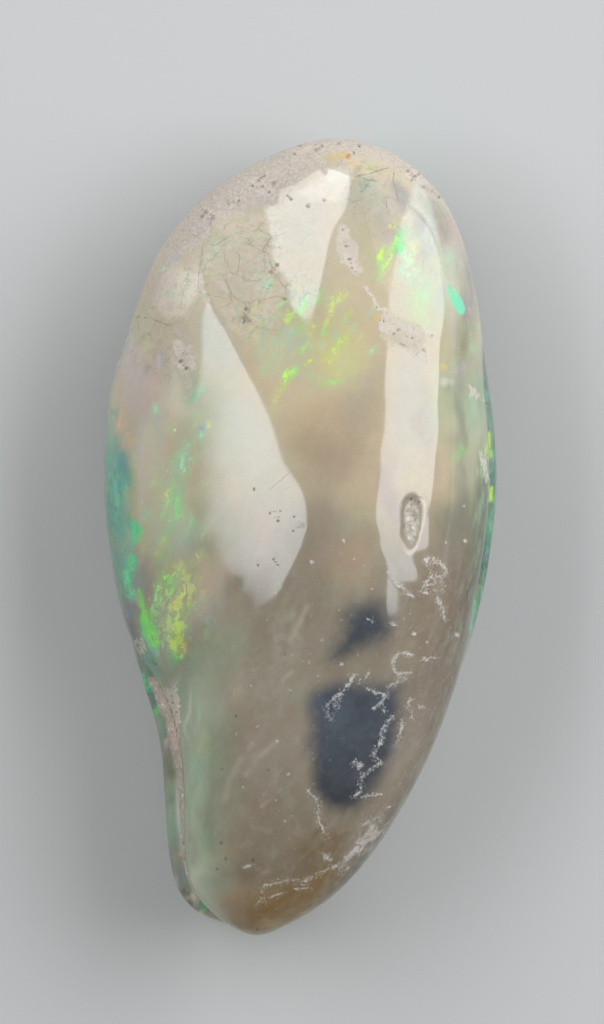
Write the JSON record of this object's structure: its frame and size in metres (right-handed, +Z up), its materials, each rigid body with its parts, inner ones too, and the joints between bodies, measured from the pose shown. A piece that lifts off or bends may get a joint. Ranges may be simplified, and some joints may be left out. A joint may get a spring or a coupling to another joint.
{
  "type": "opalized clam fossil",
  "caption": "Polished opalized clam fossil: a domed front valve cemented to a shallower back valve, with rock matrix in the seam between them, lying on its back valve.",
  "frame": {"origin": "centre of the footprint box, at the resting surface", "axes": "+Y from the pointed end to the broad rounded end, +Z up through the front valve, +X to the right as the front valve is looked down on"},
  "size_m": [0.0228, 0.046, 0.0147],
  "materials": {
    "opal_front": "polished milky opal with play of colour, crazed and pitted towards the broad end",
    "opal_back": "polished opal, green and blue play of colour over grey and tan",
    "matrix": "dull pinkish granular rock with rusty specks"
  },
  "bodies": {
    "root": {"front_valve": "opal_front", "back_valve": "opal_back", "seam_matrix": "matrix"}
  },
  "joints": []
}
